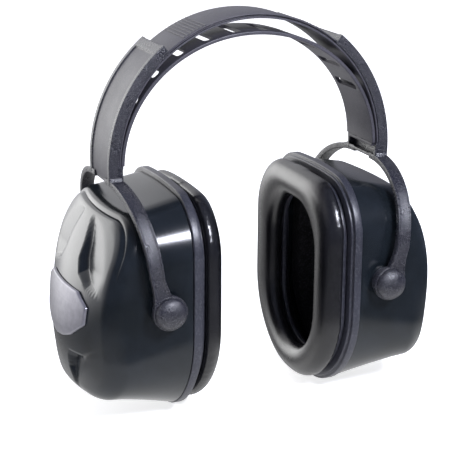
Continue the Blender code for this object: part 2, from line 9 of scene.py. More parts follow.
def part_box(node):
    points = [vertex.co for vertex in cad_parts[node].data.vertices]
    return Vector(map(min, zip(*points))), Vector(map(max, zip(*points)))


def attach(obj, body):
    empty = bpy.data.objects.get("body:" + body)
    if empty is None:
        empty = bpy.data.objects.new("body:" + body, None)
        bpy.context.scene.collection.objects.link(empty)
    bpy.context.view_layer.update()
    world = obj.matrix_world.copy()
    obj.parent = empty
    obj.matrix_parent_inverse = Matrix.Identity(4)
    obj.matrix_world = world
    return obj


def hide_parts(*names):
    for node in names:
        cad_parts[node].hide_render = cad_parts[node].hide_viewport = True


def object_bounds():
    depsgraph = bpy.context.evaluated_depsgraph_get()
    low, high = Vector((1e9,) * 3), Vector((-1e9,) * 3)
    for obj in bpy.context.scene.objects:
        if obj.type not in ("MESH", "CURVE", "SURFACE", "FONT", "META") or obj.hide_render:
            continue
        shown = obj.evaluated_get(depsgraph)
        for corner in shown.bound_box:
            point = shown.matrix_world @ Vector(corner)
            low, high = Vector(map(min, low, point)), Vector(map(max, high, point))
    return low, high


# Looks for the earmuff hearing protector. Every shape is drawn about the centre of the straps'
# arc, the +X side only, and moved into the frame at the end; the other side is its mirror image.

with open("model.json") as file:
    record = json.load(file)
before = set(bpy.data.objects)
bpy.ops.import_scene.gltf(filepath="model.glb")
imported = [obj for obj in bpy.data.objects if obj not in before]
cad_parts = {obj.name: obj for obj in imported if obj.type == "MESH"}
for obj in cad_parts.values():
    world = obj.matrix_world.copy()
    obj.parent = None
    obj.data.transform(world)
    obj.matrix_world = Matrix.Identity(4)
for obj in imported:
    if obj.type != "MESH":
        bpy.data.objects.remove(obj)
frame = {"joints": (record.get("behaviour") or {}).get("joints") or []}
CAD_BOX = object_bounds()

MM = 0.001
JOINTS = {joint["name"]: joint for joint in frame["joints"]}
ARC_CENTRE = Vector(JOINTS["right_yoke_slide"]["pos_m"])
PIVOT = Vector(JOINTS["right_cup_tilt"]["pos_m"]) - ARC_CENTRE


def cad_box(node):
    """A node's lowest and highest corners, counted from the arc's centre."""
    low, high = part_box(node)
    return low - ARC_CENTRE, high - ARC_CENTRE


# -------- sizes taken from the frame

# Angles are degrees along the arc from its crown. Radii are counted from the arc's centre.
ARC_STEP = 1.5
EASE = 0.3 * MM  # the usual softening of a moulded edge

_, STRAP_HIGH = cad_box("headband_strap")
STRAP_OUTER_R = STRAP_HIGH.z
STRAP_INNER_R = STRAP_OUTER_R - 2.2 * MM
STRAP_HALF_WIDTH = STRAP_HIGH.y
STRAP_TOP_HALF = STRAP_HALF_WIDTH - 0.6 * MM
STRAP_EASE = 0.25 * MM
STRAP_END = 88.5
GROOVE_DEPTH = 1.6 * MM
GROOVE_LOW_R = STRAP_INNER_R + 0.8 * MM
GROOVE_HIGH_R = STRAP_OUTER_R - 0.6 * MM
RIB_FIRST = 20.5
RIB_COUNT = 7
RIB_PITCH = 1.6
RIB_WIDTH = 0.75 * MM
RIB_HEIGHT = 0.35 * MM
RIB_HALF_LENGTH = STRAP_HALF_WIDTH - 1.4 * MM

_, COMFORT_HIGH = cad_box("comfort_strap")
COMFORT_THICKNESS = 1.8 * MM
COMFORT_CROWN_R = COMFORT_HIGH.z - COMFORT_THICKNESS
COMFORT_SPREAD = 5.6 * MM
COMFORT_HALF_WIDTH = COMFORT_HIGH.y
COMFORT_EASE = 0.6 * MM
SLOT_COUNT = 10
SLOT_PITCH = 13.7
SLOT_LENGTH = 21.5 * MM
SLOT_WIDTH = 4.4 * MM
SLOT_CUT_FROM = COMFORT_CROWN_R * 0.9
SLOT_END_STEPS = 12

KEY_HALF_WIDTH = 3.0 * MM
KEY_START = 85.0
KEY_PLATE_START = STRAP_END + 0.3
KEY_END = 90.2
KEY_OVERLAP = 0.3
KEY_INNER_R = 65.0 * MM
KEY_OUTER_R = 69.0 * MM

_, YOKE_HIGH = cad_box("right_yoke")
YOKE_OUTER_R = YOKE_HIGH.x
YOKE_HALF_WIDTH = 14.9 * MM
YOKE_START = 38.7
COLLAR_END = 43.0
PANEL_RAMP = 0.6
PANEL_R = YOKE_OUTER_R - 0.7 * MM
PANEL_HALF = 11.5 * MM
RAIL_EDGE = 0.6 * MM
CHANNEL_R = STRAP_OUTER_R + 0.3 * MM
CHANNEL_HALF = 14.1 * MM
FOOT_HIGH_R = GROOVE_HIGH_R - 0.15 * MM
FOOT_LOW_R = GROOVE_LOW_R + 0.15 * MM
FOOT_HALF = 13.15 * MM
# A thin skirt beside the strap's end, which closes the slit between the strap and the bridge.
SKIRT_START = 88.4
SKIRT_INSIDE = 14.6 * MM
SKIRT_OUTSIDE = 15.1 * MM
BRIDGE_START = 90.4
SKIRT_END = BRIDGE_START + 0.4
SKIRT_EASE = 0.2 * MM
BRIDGE_INSIDE = 94.2
BRIDGE_END = 95.6
BRIDGE_INNER_R = 66.0 * MM
POCKET_R = 69.5 * MM
GUSSET_REACH = 4.5 * MM
GUSSET_DEPTH = 1.5 * MM
GUSSET_STEPS = 10
GUSSET_EASE = 0.5 * MM

ARM_HALF_THICKNESS = 1.5 * MM
ARM_OUT = YOKE_HIGH.y - ARM_HALF_THICKNESS
ARM_ROOT_Y = 8.0 * MM
ARM_ROOT_Z = -6.0 * MM
ARM_SHOULDER_Z = -42.0 * MM
ARM_SQUARENESS = 2.2
ARM_ROOT_X = 69.5 * MM
ARM_MID_X = 62.6 * MM
ARM_FOOT_X = PIVOT.x + 1.0 * MM
ARM_LEAN = 1.25
ARM_HALF_WIDTH = 3.4 * MM
ARM_FLARE = 3.9 * MM
ARM_FLARE_POWER = 2.2
ARM_LIP = 0.8 * MM
ARM_RECESS = 0.35 * MM
ARM_EASE = 0.45 * MM
ARM_STEPS = 60
HEAD_EASE = 0.4 * MM
HEAD_R = 8.3 * MM

STUD_LOW, STUD_HIGH = cad_box("right_rear_pivot_stud")
DOME_R = (STUD_HIGH.x - STUD_LOW.x) / 2
DOME_TOP = STUD_HIGH.y
DOME_BASE = DOME_TOP - 4.2 * MM
STUD_TIP = STUD_LOW.y
STUD_R = 3.0 * MM
STUD_BEVEL = 0.4 * MM
DOME_STEPS = 12
SOCKET_LOW, SOCKET_HIGH = cad_box("right_rear_pivot_socket")
SOCKET_FLANGE_R = (SOCKET_HIGH.x - SOCKET_LOW.x) / 2
SOCKET_FLANGE = 2.7 * MM
SOCKET_SLEEVE_R = 5.0 * MM
SOCKET_BORE_R = STUD_R + 0.3 * MM
SOCKET_FLOOR = 1.5 * MM
SOCKET_BEVEL = 0.4 * MM
BORE_BEVEL = 0.3 * MM

RIM_LOW, RIM_HIGH = cad_box("right_rim_plate")
BULGE_TOP = 4.0 * MM  # how far the rim stands out, at its middle, from a flat-ended outline
BULGE_BOTTOM = 4.0 * MM
RIM_HALF_Y = RIM_HIGH.y
RIM_TOP_Z = RIM_HIGH.z - BULGE_TOP
RIM_BOTTOM_Z = RIM_LOW.z + BULGE_BOTTOM
RIM_TOP_CORNER_R = 24.0 * MM
RIM_BOTTOM_CORNER_R = 45.0 * MM
RIM_CENTRE_Z = (RIM_TOP_Z + RIM_BOTTOM_Z) / 2
RIM_HALF_Z = (RIM_TOP_Z - RIM_BOTTOM_Z) / 2
OPENING_HALF_Y = 25.0 * MM
OPENING_HALF_Z = 36.7 * MM
OPENING_TOP_CORNER_R = 21.0 * MM
OPENING_BOTTOM_CORNER_R = 24.5 * MM
OPENING_INSET = RIM_HALF_Y - OPENING_HALF_Y

SHELL_LOW, SHELL_HIGH = cad_box("right_cup_shell")
SHELL_X = SHELL_LOW.x
SHELL_HALF_Y = SHELL_HIGH.y
SHELL_TOP_Z = RIM_TOP_Z - 2.2 * MM
SHELL_BOTTOM_Z = RIM_BOTTOM_Z + 0.5 * MM
SHELL_TOP_CORNER_R = 23.0 * MM
SHELL_BOTTOM_CORNER_R = 44.0 * MM
WALL = 2.4 * MM
SINK_ROOM = 1.6 * MM  # the wall is this much thicker, so that its hollows don't break through
SIDE_TAPER = 0.06
TOP_TAPER = 0.11
BOTTOM_TAPER = 0.25
TOP_CORNER_TAPER = 0.1
BOTTOM_CORNER_TAPER = 0.52
LEAST_CORNER_R = 2.0 * MM
SHOULDER_X = 72.0 * MM
EDGE_R = 7.0 * MM
FACE_MIDDLE = 0.015  # the share of the face's outline at which its innermost ring lies
FACE_X = SHELL_HIGH.x + 0.4 * MM
FACE_PEAK_Z = -82.0 * MM
FACE_FALL_UP = 4.6  # per metre
FACE_FALL_DOWN = 6.6
FACE_CROWN_TOP = 3.4
FACE_CROWN_FOOT = 7.2
CROWN_START_Z = -35.0 * MM
CROWN_END_Z = -92.0 * MM

# The sculpted face, as (|y|, z) in millimetres: the foot of each hollow runs along these lines.
RIDGE_LINE = ((4.0, -14.0), (6.6, -22.5), (10.2, -34.0), (10.4, -41.5), (14.5, -47.5),
              (24.0, -52.0), (34.0, -53.0), (60.0, -51.0))
RIDGE_SINK = 4.8 * MM
RIDGE_SINK_START_Z = -22.0 * MM
RIDGE_SINK_FULL_Z = -44.0 * MM
KEEL_LINE = ((60.0, -66.0), (36.0, -78.0), (25.0, -84.6), (13.0, -85.4), (11.2, -88.5),
             (11.0, -94.5), (13.0, -101.5), (17.0, -107.5), (24.0, -118.0))
KEEL_SINK = 5.0 * MM
KEEL_SINK_START_Z = -112.0 * MM
KEEL_SINK_FULL_Z = -87.0 * MM
HOLLOW_SLOPE = 1.35
HOLLOW_SPLIT_Z = -60.0 * MM  # above it lie the ridge's hollows, under it the keel's
HOLLOW_FLOOR_EASE = 0.7 * MM
HOLLOW_WALL_EASE = 0.5 * MM
SEAM_TURN = 50.0  # degrees round the shell's edge where the fine seam runs
SEAM_SPREAD = 6.0
SEAM_DEPTH = 0.9 * MM
SEAM_END_Z = -58.0 * MM
SEAM_FULL_Z = -30.0 * MM

# Low pads on the side walls beside each pivot, as their (start, end) along X.
PADS = ((44.5 * MM, 48.1 * MM), (49.2 * MM, 62.0 * MM))
PAD_HALF = 10.75 * MM
PAD_HEIGHT = 0.12 * MM
PAD_ROOT = 1.0 * MM
PAD_CORNER_R = 0.8 * MM

FOAM_LOW, FOAM_HIGH = cad_box("right_cup_foam_lining")
FOAM_THICKNESS = 8.0 * MM
FOAM_WALL_INSET = 7.8 * MM
FOAM_NARROWING = 6.0 * MM
FOAM_BUMP = 0.35 * MM
FOAM_BUMP_PITCH = 7.0 * MM
FOAM_SCALES = (0.85, 0.7, 0.55, 0.4, 0.25, 0.1)  # the rings across the dish's floor

# Profiles round the rim, as (outline, inset, x) in millimetres.
RIM_PLATE = (("rim", 0.0, 43.2), ("wall", 2.8, 43.2), ("wall", 2.8, 46.2), ("wall", 4.4, 46.2),
             ("wall", 4.4, 43.2), ("wall", 8.0, 43.2), ("wall", 8.0, 38.2), ("rim", 2.0, 38.2),
             ("rim", 2.0, 39.4), ("rim", 0.0, 39.4))
SNAP_RING = (("rim", 6.0, 37.9), ("wall", 8.5, 37.9), ("wall", 8.5, 41.5), ("wall", 9.8, 41.5),
             ("wall", 9.8, 37.9), ("rim", 20.8, 37.9), ("rim", 20.8, 35.9), ("rim", 6.0, 35.9))
CUSHION = ((5.4, 35.6), (3.4, 36.2), (2.4, 35.0), (2.4, 32.0), (4.0, 28.8), (6.8, 26.6),
           (10.4, 25.5), (15.4, 25.5), (19.4, 26.5), (21.6, 28.6), (22.4, 31.2), (22.2, 35.6))
CUSHION_LOW, CUSHION_HIGH = cad_box("right_cushion_skin")
CUSHION_SHRINK = 0.2 * MM
CUSHION_VOXEL = 1.8 * MM
CUSHION_CAP = 0.9 * MM
CUSHION_EASE = 2.5 * MM
CUSHION_HELD = 1.2 * MM  # the depth at the back that stays on the snap ring
CUSHION_FRONT_X = 30.0 * MM
CUSHION_CROWN = 0.2 * MM
CLOTH_FRAMES = 20

# The badge's right half, as (y, z) in millimetres on the shell's face.
BADGE_HALF = ((19.5, -54.5), (28.7, -60.0), (27.8, -68.6), (16.5, -76.6), (8.0, -79.6))
BADGE_FOOT_Z = -80.8
BADGE_CENTRE_Z = -67.0 * MM
BADGE_GAP = 0.3 * MM
BADGE_THICKNESS = 1.3 * MM
BADGE_FOLD_Z = -74.8 * MM
BADGE_FOLD_DROP = 0.14
BADGE_FOLD_ARCH = 4.0
BADGE_EASE = 0.8 * MM
BADGE_SPACING = 2.0 * MM
# The badge's upper edge, as (share of the outline, depth under the top).
BADGE_EDGE = ((1.0, 0.45 * MM), (0.992, 0.2 * MM), (0.978, 0.04 * MM), (0.965, 0.0))
BADGE_RINGS = 22

# The room: the way to its brightest place, how bright that is, and the tones from the camera's
# side to it, by the cosine of the angle from that way.
BACKDROP_WAY = (-0.5, 0.85, 0.15)
BACKDROP_LEVEL = 4.0
ROOM_STOPS = ((-1.0, (0.030, 0.033, 0.046)), (0.30, (0.036, 0.040, 0.056)),
              (0.46, (0.06, 0.06, 0.07)), (0.61, (0.16, 0.16, 0.17)), (0.76, (0.27, 0.27, 0.28)),
              (0.885, (0.34, 0.34, 0.35)), (0.95, (0.85, 0.85, 0.85)), (0.985, (1.0, 1.0, 1.0)))
HORIZON_LEVEL = 0.2  # the backdrop's share that is left under the horizon
HORIZON_FROM = -0.34
HORIZON_TO = -0.13
TABLE_LEVEL = 0.8
TABLE_FROM = -0.30
TABLE_TO = -0.60
LAMP_TINT = (0.86, 0.88, 1.0)
FLOOR_GAP = 0.5 * MM

# Finishes: noise scales per metre, and the part of the grain's height that shows as specks:
# painted glints, the grain's tops painted lighter.
MOTTLE_SCALE = 60.0
SMUDGE_SCALE = 140.0
PORE_SCALE = 900.0
GLINT_PAINT_FROM = 0.50
GLINT_PAINT_TO = 0.64
COAT_ROUGHNESS = 0.12

# -------- meshes


def smooth(value):
    value = min(max(value, 0.0), 1.0)
    return value * value * (3.0 - 2.0 * value)


def blend_between(value, start, end):
    return smooth((value - start) / (end - start))


def mesh_from(bm):
    bmesh.ops.recalc_face_normals(bm, faces=bm.faces)
    mesh = bpy.data.meshes.new("shape")
    bm.to_mesh(mesh)
    bm.free()
    return mesh


def loft(rings, closed=False):
    """A solid through rings of equal length: capped at both ends, or closed on itself."""
    bm = bmesh.new()
    made = [[bm.verts.new(point) for point in ring] for ring in rings]
    pairs = list(zip(made, made[1:]))
    if closed:
        pairs.append((made[-1], made[0]))
    else:
        bm.faces.new(made[0])
        bm.faces.new(made[-1])
    for low, high in pairs:
        for i in range(len(low)):
            j = (i + 1) % len(low)
            bm.faces.new((low[i], low[j], high[j], high[i]))
    return mesh_from(bm)


def together(meshes):
    """Several solids as one mesh."""
    bm = bmesh.new()
    for mesh in meshes:
        bm.from_mesh(mesh)
    return mesh_from(bm)


def cut(mesh, cutter):
    """The mesh with the cutter's solids taken away."""
    body = bpy.data.objects.new("body", mesh)
    tool = bpy.data.objects.new("tool", cutter)
    for obj in (body, tool):
        bpy.context.scene.collection.objects.link(obj)
    modifier = body.modifiers.new("cut", "BOOLEAN")
    modifier.solver = "EXACT"
    modifier.object = tool
    graph = bpy.context.evaluated_depsgraph_get()
    result = bpy.data.meshes.new_from_object(body.evaluated_get(graph))
    for obj in (body, tool):
        bpy.data.objects.remove(obj)
    return result


def rounded(points, radius, steps=3):
    """A closed outline with every corner eased into a curve."""
    eased = []
    for i, here in enumerate(points):
        before = points[i - 1] - here
        after = points[(i + 1) % len(points)] - here
        start = here + before * min(radius / before.length, 0.45)
        end = here + after * min(radius / after.length, 0.45)
        for step in range(steps + 1):
            share = step / steps
            eased.append(start.lerp(here, share).lerp(here.lerp(end, share), share))
    return eased


def two_sided(half):
    """A whole section from the (half width, radius) points of its +Y half."""
    return list(half) + [(-y, radius) for y, radius in reversed(half)]


def on_arc(angle, radius, y):
    turn = math.radians(angle)
    return Vector((radius * math.sin(turn), y, radius * math.cos(turn)))


def arc_angles(start, end, step):
    count = max(1, round((end - start) / step))
    return [start + (end - start) * i / count for i in range(count + 1)]


def arc_sweep(section_at, angles, ease=EASE):
    """A strip along the arc. section_at gives the (y, radius) section at an angle."""
    rings = []
    for angle in angles:
        section = [Vector((y, r, 0.0)) for y, r in section_at(angle)]
        rings.append([on_arc(angle, p.y, p.x) for p in rounded(section, ease)])
    return loft(rings)


def cross_bar(start, end, low_r, high_r, low_y, high_y, ease):
    """A bar that lies across the arc between two arc angles, with softened ends."""
    corners = ((start, low_r), (end, low_r), (end, high_r), (start, high_r))
    outline = rounded([on_arc(a, r, 0.0) for a, r in corners], ease)
    middle = sum(outline, Vector()) / len(outline)
    rings = []
    edge = 0.2 * MM
    for y, inset in ((low_y, edge), (low_y + edge, 0.0), (high_y - edge, 0.0), (high_y, edge)):
        rings.append([p - (p - middle).normalized() * inset + Vector((0.0, y, 0.0))
                      for p in outline])
    return loft(rings)


def turned(profile, side, steps=40):
    """A round solid about the pivot axis, through (radius, |y|) points. The first and the last
    point lie on the axis."""
    rings = []
    for i in range(steps):
        turn = 2 * math.pi * i / steps
        rings.append([PIVOT + Vector((r * math.cos(turn), side * y, r * math.sin(turn)))
                      for r, y in profile])
    mesh = loft(rings, closed=True)
    bm = bmesh.new()
    bm.from_mesh(mesh)
    bmesh.ops.remove_doubles(bm, verts=bm.verts, dist=0.00001)
    bmesh.ops.dissolve_degenerate(bm, edges=bm.edges, dist=0.000001)
    return mesh_from(bm)


def turned_round(corners, side, ease):
    """Like turned(), through corners that are eased."""
    points = rounded([Vector((r, y, 0.0)) for r, y in corners], ease)
    return turned([(max(p.x, 0.0), p.y) for p in points], side)


# -------- straps


def strap_section(_angle):
    groove = STRAP_HALF_WIDTH - GROOVE_DEPTH
    return two_sided(((STRAP_TOP_HALF, STRAP_OUTER_R), (STRAP_TOP_HALF, GROOVE_HIGH_R),
                      (groove, GROOVE_HIGH_R), (groove, GROOVE_LOW_R),
                      (STRAP_HALF_WIDTH, GROOVE_LOW_R), (STRAP_HALF_WIDTH, STRAP_INNER_R)))


def strap_mesh():
    angles = arc_angles(-STRAP_END, STRAP_END, ARC_STEP)
    solids = [arc_sweep(strap_section, angles, STRAP_EASE)]
    reach = math.degrees(RIB_WIDTH / STRAP_OUTER_R) / 2
    for side in (-1, 1):
        for i in range(RIB_COUNT):
            angle = side * (RIB_FIRST + RIB_PITCH * i)
            solids.append(cross_bar(angle - reach, angle + reach, STRAP_OUTER_R - RIB_HEIGHT,
                                    STRAP_OUTER_R + RIB_HEIGHT, -RIB_HALF_LENGTH,
                                    RIB_HALF_LENGTH, EASE))
    return together(solids)


def comfort_section(angle):
    inner = COMFORT_CROWN_R + COMFORT_SPREAD * math.sin(math.radians(angle)) ** 2
    return two_sided(((COMFORT_HALF_WIDTH, inner + COMFORT_THICKNESS),
                      (COMFORT_HALF_WIDTH, inner)))


def slot_cutter(angle):
    """A round-ended bar that points out from the arc's centre."""
    end_r = SLOT_WIDTH / 2
    outline = []
    for side in (1, -1):
        for i in range(SLOT_END_STEPS + 1):
            turn = math.pi * (i / SLOT_END_STEPS - 0.5)
            y = side * (SLOT_LENGTH / 2 - end_r + end_r * math.cos(turn))
            outline.append((side * end_r * math.sin(turn), y))
    bar = loft([[Vector((x, y, r)) for x, y in outline]
                for r in (SLOT_CUT_FROM, STRAP_INNER_R)])
    bar.transform(Matrix.Rotation(math.radians(angle), 4, "Y"))
    return bar


def comfort_mesh():
    angles = arc_angles(-STRAP_END, STRAP_END, ARC_STEP)
    strap = arc_sweep(comfort_section, angles, COMFORT_EASE)
    slots = [slot_cutter((i - (SLOT_COUNT - 1) / 2) * SLOT_PITCH) for i in range(SLOT_COUNT)]
    return cut(strap, together(slots))


def key_mesh():
    low, high = cad_box("right_strap_end_key")
    plate = cross_bar(KEY_PLATE_START, KEY_END, KEY_INNER_R, KEY_OUTER_R, low.y, high.y, EASE)
    stem = cross_bar(KEY_START, KEY_PLATE_START + KEY_OVERLAP, KEY_INNER_R, KEY_OUTER_R,
                     -KEY_HALF_WIDTH, KEY_HALF_WIDTH, EASE)
    return together([plate, stem])


# -------- yoke


def yoke_section(angle):
    sunk = blend_between(angle, COLLAR_END, COLLAR_END + PANEL_RAMP)
    sunk += 1.0 - blend_between(angle, YOKE_START, YOKE_START + PANEL_RAMP)
    panel_r = YOKE_OUTER_R + (PANEL_R - YOKE_OUTER_R) * min(sunk, 1.0)
    rail = ((PANEL_HALF, panel_r), (PANEL_HALF + RAIL_EDGE, YOKE_OUTER_R),
            (YOKE_HALF_WIDTH, YOKE_OUTER_R))
    if angle < BRIDGE_START:
        return two_sided((*rail, (YOKE_HALF_WIDTH, FOOT_LOW_R), (FOOT_HALF, FOOT_LOW_R),
                          (FOOT_HALF, FOOT_HIGH_R), (CHANNEL_HALF, FOOT_HIGH_R),
                          (CHANNEL_HALF, CHANNEL_R)))
    low, high = BRIDGE_INNER_R, POCKET_R
    inside = [(FOOT_HALF, low + (high - low) * share) for share in (0.0, 0.33, 0.67, 1.0)]
    return two_sided((*rail, (YOKE_HALF_WIDTH, low), *inside))


def arm_station(share):
    """(x, y, z, half width) of an arm's middle line: 0 at the bridge, 1 at the shoulder, 2 at the
    pivot."""
    if share <= 1.0:
        turn = math.radians(90 * share)
        y = ARM_ROOT_Y + (ARM_OUT - ARM_ROOT_Y) * math.sin(turn) ** (2 / ARM_SQUARENESS)
        reach_z = ARM_ROOT_Z - ARM_SHOULDER_Z
        z = ARM_SHOULDER_Z + reach_z * max(math.cos(turn), 0.0) ** (2 / ARM_SQUARENESS)
        x = ARM_ROOT_X + (ARM_MID_X - ARM_ROOT_X) * share ** ARM_LEAN
        return x, y, z, ARM_HALF_WIDTH
    drop = share - 1.0
    z = ARM_SHOULDER_Z + (PIVOT.z - ARM_SHOULDER_Z) * drop
    x = ARM_MID_X + (ARM_FOOT_X - ARM_MID_X) * drop
    return x, ARM_OUT, z, ARM_HALF_WIDTH + ARM_FLARE * drop ** ARM_FLARE_POWER


def arm_mesh(side):
    """A flat ribbon with a fine lip along both edges of its outer face."""
    rings = []
    near = 0.01
    for i in range(ARM_STEPS + 1):
        share = 2.0 * i / ARM_STEPS
        x, y, z, half_width = arm_station(share)
        _, y_before, z_before, _ = arm_station(max(share - near, 0.0))
        _, y_after, z_after, _ = arm_station(min(share + near, 2.0))
        along = Vector((0.0, y_after - y_before, z_after - z_before)).normalized()
        across = Vector((0.0, -along.z, along.y))
        thick = ARM_HALF_THICKNESS
        floor = thick - ARM_RECESS
        inside = half_width - ARM_LIP
        flat = ((half_width, thick), (half_width, -thick), (-half_width, -thick),
                (-half_width, thick), (-inside, thick), (-inside + ARM_RECESS, floor),
                (inside - ARM_RECESS, floor), (inside, thick))
        middle = Vector((x, y, z))
        ring = [middle + Vector((wide, 0.0, 0.0)) + across * deep for wide, deep in flat]
        ring = rounded(ring, ARM_EASE)
        rings.append([Vector((p.x, side * p.y, p.z)) for p in ring])
    return loft(rings)


def head_disc(side):
    outer = ARM_OUT + ARM_HALF_THICKNESS
    inner = ARM_OUT - ARM_HALF_THICKNESS
    lip = HEAD_R - ARM_LIP
    return turned_round(((SOCKET_BORE_R, inner), (HEAD_R, inner), (HEAD_R, outer),
                         (lip, outer), (lip - ARM_RECESS, outer - ARM_RECESS),
                         (SOCKET_BORE_R, outer - ARM_RECESS)), side, HEAD_EASE)


def yoke_mesh():
    angles = arc_angles(YOKE_START, COLLAR_END + 1.0, PANEL_RAMP / 2)
    angles += arc_angles(COLLAR_END + 2.0, BRIDGE_START - 0.1, ARC_STEP)
    angles += arc_angles(BRIDGE_START, BRIDGE_END, 1.0)
    tuck = 0.5 * MM
    inner_r = BRIDGE_INNER_R + 0.1 * MM
    solids = [arc_sweep(yoke_section, angles),
              cross_bar(BRIDGE_INSIDE, BRIDGE_END - 0.1, inner_r, POCKET_R + tuck,
                        -FOOT_HALF - tuck, FOOT_HALF + tuck, EASE)]
    for side in (1, -1):
        skirt = sorted((side * SKIRT_INSIDE, side * SKIRT_OUTSIDE))
        solids += [gusset(side), arm_mesh(side), head_disc(side),
                   cross_bar(SKIRT_START, SKIRT_END, inner_r, FOOT_LOW_R + tuck, *skirt,
                             SKIRT_EASE)]
    return together(solids)


def gusset(side):
    """The curved corner in which a rail flows into its arm."""
    top = on_arc(BRIDGE_START, POCKET_R, 0.0).z
    low = ARM_ROOT_Z - ARM_HALF_THICKNESS / 2
    rings = []
    for i in range(GUSSET_STEPS + 1):
        turn = math.radians(90 * i / GUSSET_STEPS)
        y = YOKE_HALF_WIDTH - 0.6 * MM + GUSSET_REACH * (1 - math.cos(turn))
        z = top + (low - top) * math.sin(turn)
        half = ARM_HALF_WIDTH - 0.3 * MM
        ring = [Vector((ARM_ROOT_X + a * half, y - b * GUSSET_DEPTH, z))
                for a, b in ((-1, 1), (-1, 0), (1, 0), (1, 1))]
        rings.append([Vector((p.x, side * p.y, p.z)) for p in rounded(ring, GUSSET_EASE)])
    return loft(rings)


def in_panel(point):
    """True on the smooth sunk panel between the yoke's rails."""
    radius = math.hypot(point.x, point.z)
    angle = math.degrees(math.atan2(abs(point.x), point.z))
    return (abs(point.y) < PANEL_HALF and radius > CHANNEL_R + 1.0 * MM
            and COLLAR_END + 0.5 < angle < BRIDGE_INSIDE)


# -------- pivots


def stud_mesh(side):
    profile = []
    for i in range(DOME_STEPS + 1):
        turn = math.radians(90 * i / DOME_STEPS)
        height = (DOME_TOP - DOME_BASE) * math.cos(turn)
        profile.append((DOME_R * math.sin(turn), DOME_BASE + height))
    underside = DOME_BASE - 0.1 * MM
    profile += [(DOME_R - 0.2 * MM, underside), (STUD_R, underside),
                (STUD_R, STUD_TIP + STUD_BEVEL), (STUD_R - STUD_BEVEL, STUD_TIP),
                (0.0, STUD_TIP)]
    return turned(profile, side)


def socket_mesh(side):
    face = SOCKET_HIGH.y
    back = SOCKET_LOW.y
    flange = face - SOCKET_FLANGE
    floor = back + SOCKET_FLOOR
    return turned(((0.0, floor), (SOCKET_BORE_R, floor), (SOCKET_BORE_R, face - BORE_BEVEL),
                   (SOCKET_BORE_R + BORE_BEVEL, face), (SOCKET_FLANGE_R - SOCKET_BEVEL, face),
                   (SOCKET_FLANGE_R, face - SOCKET_BEVEL), (SOCKET_FLANGE_R, flange),
                   (SOCKET_SLEEVE_R, flange), (SOCKET_SLEEVE_R, back), (0.0, back)), side)


# -------- cup


def bulge(y, z):
    """How far the rim's outline stands out here from one with a flat top and bottom."""
    across = 1 - (y / RIM_HALF_Y) ** 2
    up = (z - RIM_CENTRE_Z) / RIM_HALF_Z
    return (BULGE_TOP if up > 0 else -BULGE_BOTTOM) * across * up ** 2


def outline(half_y, low_z, high_z, top_r, bottom_r, belly, corner_steps=16, side_steps=8):
    """(y, z) points of an outline like the rim's, counted round from the +Y side. belly is the
    share of the bulge that it has."""
    arcs = []
    for corner in range(4):
        side_y = 1 if corner in (0, 3) else -1
        radius = top_r if corner < 2 else bottom_r
        middle_z = high_z - radius if corner < 2 else low_z + radius
        arc = []
        for step in range(corner_steps + 1):
            angle = math.radians(90 * (corner + step / corner_steps))
            arc.append((side_y * (half_y - radius) + radius * math.cos(angle),
                        middle_z + radius * math.sin(angle)))
        arcs.append(arc)
    points = []
    for arc, after in zip(arcs, arcs[1:] + arcs[:1]):
        points += arc
        (y0, z0), (y1, z1) = arc[-1], after[0]
        for step in range(1, side_steps):
            share = step / side_steps
            points.append((y0 + (y1 - y0) * share, z0 + (z1 - z0) * share))
    return [(y, z + belly * bulge(y, z)) for y, z in points]


def rim_outline(inset):
    """The rim's outline, moved in. At OPENING_INSET it is the cushion's opening."""
    share = inset / OPENING_INSET
    half_z = RIM_HALF_Z + (OPENING_HALF_Z - RIM_HALF_Z) * share
    top_r = RIM_TOP_CORNER_R + (OPENING_TOP_CORNER_R - RIM_TOP_CORNER_R) * share
    bottom_r = RIM_BOTTOM_CORNER_R + (OPENING_BOTTOM_CORNER_R - RIM_BOTTOM_CORNER_R) * share
    return outline(RIM_HALF_Y - inset, RIM_CENTRE_Z - half_z, RIM_CENTRE_Z + half_z, top_r,
                   bottom_r, 1.0)


def wall_outline(inset, x, **fine):
    """The outline of the shell's wall at x, moved in. Its bulge fades out to the shoulder."""
    out = x - SHELL_X
    top_r = SHELL_TOP_CORNER_R - TOP_CORNER_TAPER * out - inset
    bottom_r = SHELL_BOTTOM_CORNER_R - BOTTOM_CORNER_TAPER * out - inset
    belly = min(max(1 - out / (SHOULDER_X - SHELL_X), 0.0), 1.0)
    return outline(SHELL_HALF_Y - SIDE_TAPER * out - inset,
                   SHELL_BOTTOM_Z + BOTTOM_TAPER * out + inset,
                   SHELL_TOP_Z - TOP_TAPER * out - inset,
                   max(top_r, LEAST_CORNER_R), max(bottom_r, LEAST_CORNER_R), belly, **fine)


def round_rim(profile, ease):
    """A closed ring round the rim, through a closed profile of (outline, inset, x)."""
    tracks = []
    for kind, inset, x in profile:
        flat = rim_outline(inset * MM) if kind == "rim" else wall_outline(inset * MM, x * MM)
        tracks.append([Vector((x * MM, y, z)) for y, z in flat])
    return loft([rounded(list(section), ease) for section in zip(*tracks)], closed=True)


def face_fall(y, z):
    """How far the crowned face falls back beside its middle line."""
    share = smooth((CROWN_START_Z - z) / (CROWN_START_Z - CROWN_END_Z))
    return (FACE_CROWN_TOP + (FACE_CROWN_FOOT - FACE_CROWN_TOP) * share) * y ** 2


def face_x(y, z):
    above = z - FACE_PEAK_Z
    fall = FACE_FALL_UP if above > 0 else FACE_FALL_DOWN
    return FACE_X - fall * above ** 2 - face_fall(y, z)


